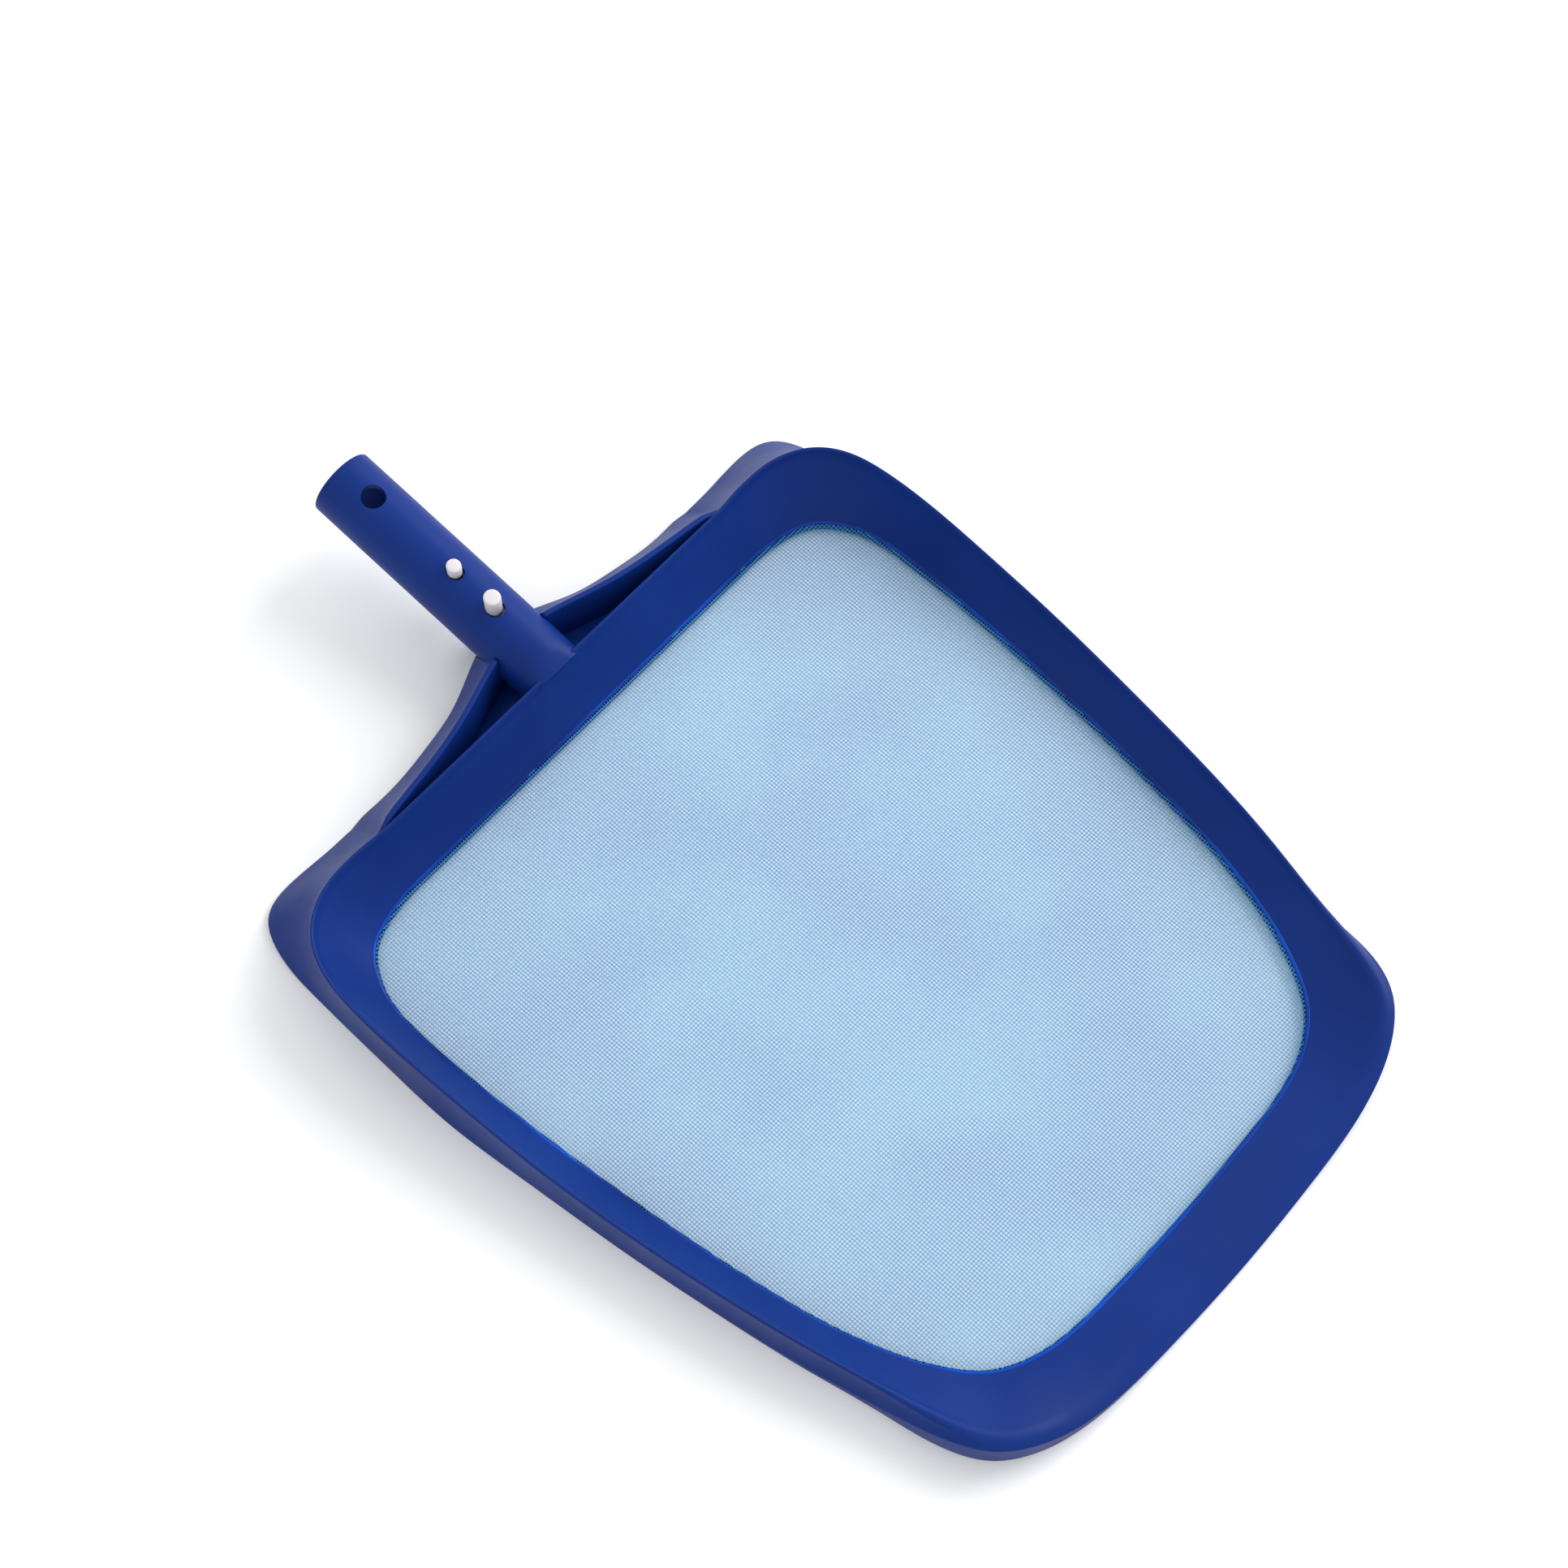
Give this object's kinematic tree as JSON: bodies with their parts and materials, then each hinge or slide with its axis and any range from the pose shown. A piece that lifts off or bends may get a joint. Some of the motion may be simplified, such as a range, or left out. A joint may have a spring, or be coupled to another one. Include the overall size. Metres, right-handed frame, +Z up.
{
  "type": "leaf skimmer net",
  "caption": "Flat leaf skimmer for pools: a scoop frame with a fine stretched mesh and a tubular pole socket with spring lock buttons.",
  "frame": {"origin": "centre of the bounding box in plan, on the plane that the frame's foot stands on", "axes": "+X from the pole socket towards the scoop lip, +Z up out of the scoop, +Y across it to its left"},
  "size_m": [0.4595, 0.3074, 0.0496],
  "materials": {
    "blue_plastic": "semi-gloss moulded polypropylene, royal blue",
    "white_plastic": "semi-gloss moulded plastic, off-white",
    "bonded_border": "mesh melted into the frame, brighter blue",
    "net_mesh": "fine square woven nylon mesh, pale blue"
  },
  "bodies": {
    "frame": {"scoop_lip": "blue_plastic", "left_side_rail": "blue_plastic", "right_side_rail": "blue_plastic", "back_rail": "blue_plastic", "left_yoke_wing": "blue_plastic", "right_yoke_wing": "blue_plastic", "left_yoke_floor": "blue_plastic", "right_yoke_floor": "blue_plastic", "socket_tube": "blue_plastic", "net": "net_mesh", "net_border": "bonded_border", "clip_bridge": "white_plastic"},
    "upper_leg": {"upper_clip_leg": "white_plastic", "upper_lock_pin": "white_plastic", "upper_release_button": "white_plastic"},
    "lower_leg": {"lower_clip_leg": "white_plastic", "lower_lock_pin": "white_plastic", "lower_release_button": "white_plastic"}
  },
  "joints": [
    {"name": "upper_leg_press", "type": "hinge", "parent": "frame", "child": "upper_leg", "pos_m": [-0.19834, 0, 0.03504], "axis": [0, 1, 0], "range_deg": [0, 8], "stiffness_Nm_per_rad": 4, "springref_deg": -4.01},
    {"name": "lower_leg_press", "type": "hinge", "parent": "frame", "child": "lower_leg", "pos_m": [-0.1996, 0, 0.02714], "axis": [0, -1, 0], "range_deg": [0, 8], "stiffness_Nm_per_rad": 4, "springref_deg": -4.01}
  ]
}
